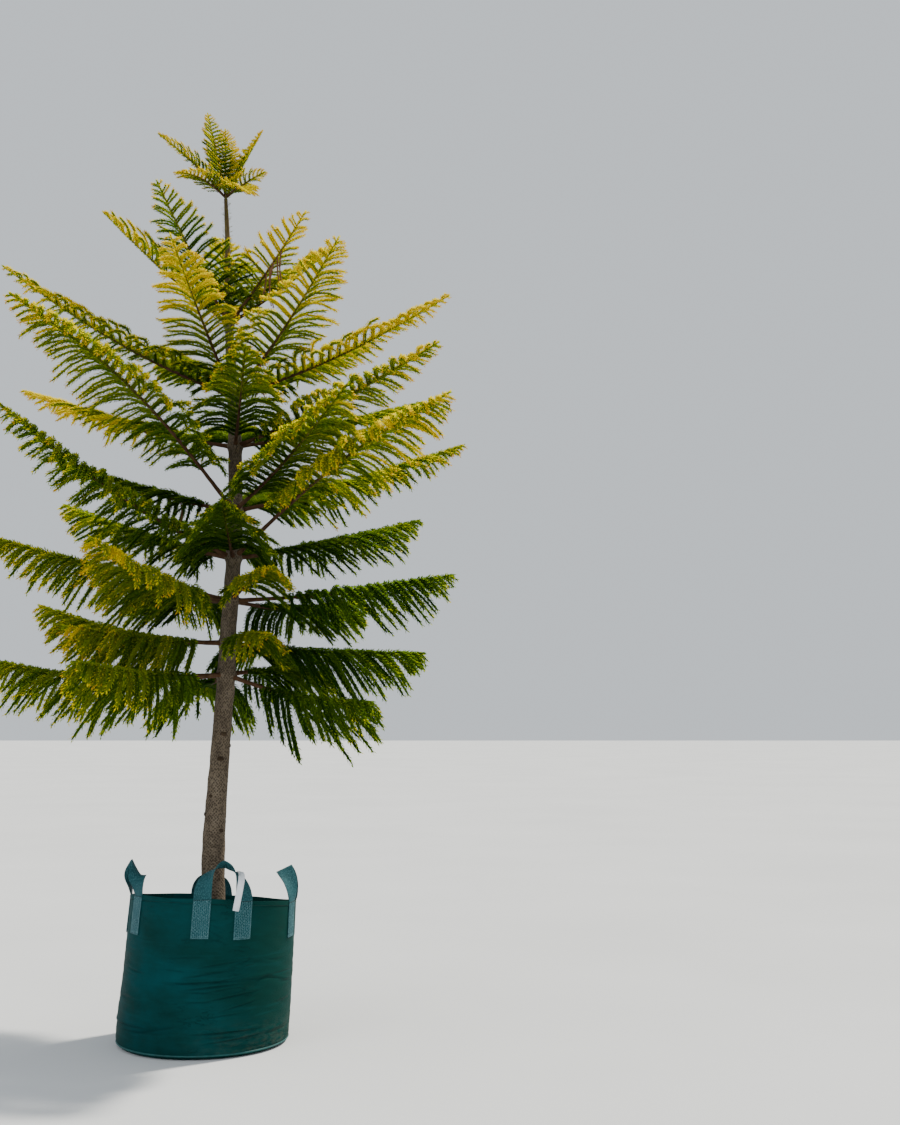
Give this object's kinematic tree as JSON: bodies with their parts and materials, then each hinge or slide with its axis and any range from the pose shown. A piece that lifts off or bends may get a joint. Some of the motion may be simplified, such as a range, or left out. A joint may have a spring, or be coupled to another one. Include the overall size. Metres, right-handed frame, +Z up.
{
  "type": "norfolk island pine in a grow bag",
  "caption": "Young Norfolk Island pine with tiered frond-like boughs on a slim leaning trunk, standing in a tall round woven grow bag with webbing carry handles.",
  "frame": {"origin": "centre of the grow bag's flat underside, on the ground", "axes": "+Z up the tree; -Y is the front, towards the picture's camera; +X to the right"},
  "size_m": [1.8622, 1.6923, 3.5779],
  "materials": {
    "bark": "rough grey-brown bark",
    "bough_bark": "red-brown bark",
    "foliage": "yellow-green to dark green needles",
    "woven_cloth": "dark teal woven polypropylene",
    "webbing": "grey-teal webbing",
    "potting_mix": "damp composted bark",
    "plant_tag": "bare white plastic"
  },
  "bodies": {
    "root": {"bough_whorl_3_front_right": "bough_bark", "bough_whorl_6_front_right": "bough_bark", "bough_whorl_7_front_left": "bough_bark", "bough_whorl_7_right": "bough_bark", "bough_whorl_8_right": "bough_bark", "bough_whorl_9_front_left": "bough_bark", "bough_whorl_9_left": "bough_bark", "bough_whorl_9_right": "bough_bark", "foliage_whorl_2_back": "foliage", "foliage_whorl_2_back_right": "foliage", "foliage_whorl_2_front_left": "foliage", "foliage_whorl_2_front_right": "foliage", "foliage_whorl_2_left": "foliage", "foliage_whorl_3_back": "foliage", "foliage_whorl_3_back_right": "foliage", "foliage_whorl_3_front": "foliage", "foliage_whorl_3_front_right": "foliage", "foliage_whorl_3_left": "foliage", "foliage_whorl_3_right": "foliage", "foliage_whorl_4_back": "foliage", "foliage_whorl_4_back_right": "foliage", "foliage_whorl_4_front": "foliage", "foliage_whorl_4_left": "foliage", "foliage_whorl_4_right": "foliage", "foliage_whorl_5_back": "foliage", "foliage_whorl_5_front_left": "foliage", "foliage_whorl_5_front_right": "foliage", "foliage_whorl_5_left": "foliage", "foliage_whorl_5_right": "foliage", "foliage_whorl_6_back": "foliage", "foliage_whorl_6_back_left": "foliage", "foliage_whorl_6_back_right": "foliage", "foliage_whorl_6_front": "foliage", "foliage_whorl_6_front_right": "foliage", "foliage_whorl_6_left": "foliage", "foliage_whorl_7_back": "foliage", "foliage_whorl_7_back_right": "foliage", "foliage_whorl_7_front": "foliage", "foliage_whorl_7_front_left": "foliage", "foliage_whorl_7_left": "foliage", "foliage_whorl_7_right": "foliage", "foliage_whorl_8_back": "foliage", "foliage_whorl_8_front": "foliage", "foliage_whorl_8_front_left": "foliage", "foliage_whorl_8_left": "foliage", "foliage_whorl_8_right": "foliage", "foliage_whorl_9_back": "foliage", "foliage_whorl_9_back_right": "foliage", "foliage_whorl_9_front_left": "foliage", "foliage_whorl_9_left": "foliage", "foliage_whorl_9_right": "foliage", "grow_bag": "woven_cloth", "handle_back": "webbing", "handle_front": "webbing", "handle_left": "webbing", "handle_right": "webbing", "plant_tag": "plant_tag", "potting_mix": "potting_mix", "top_tuft": "foliage", "trunk": "bark"}
  },
  "joints": []
}
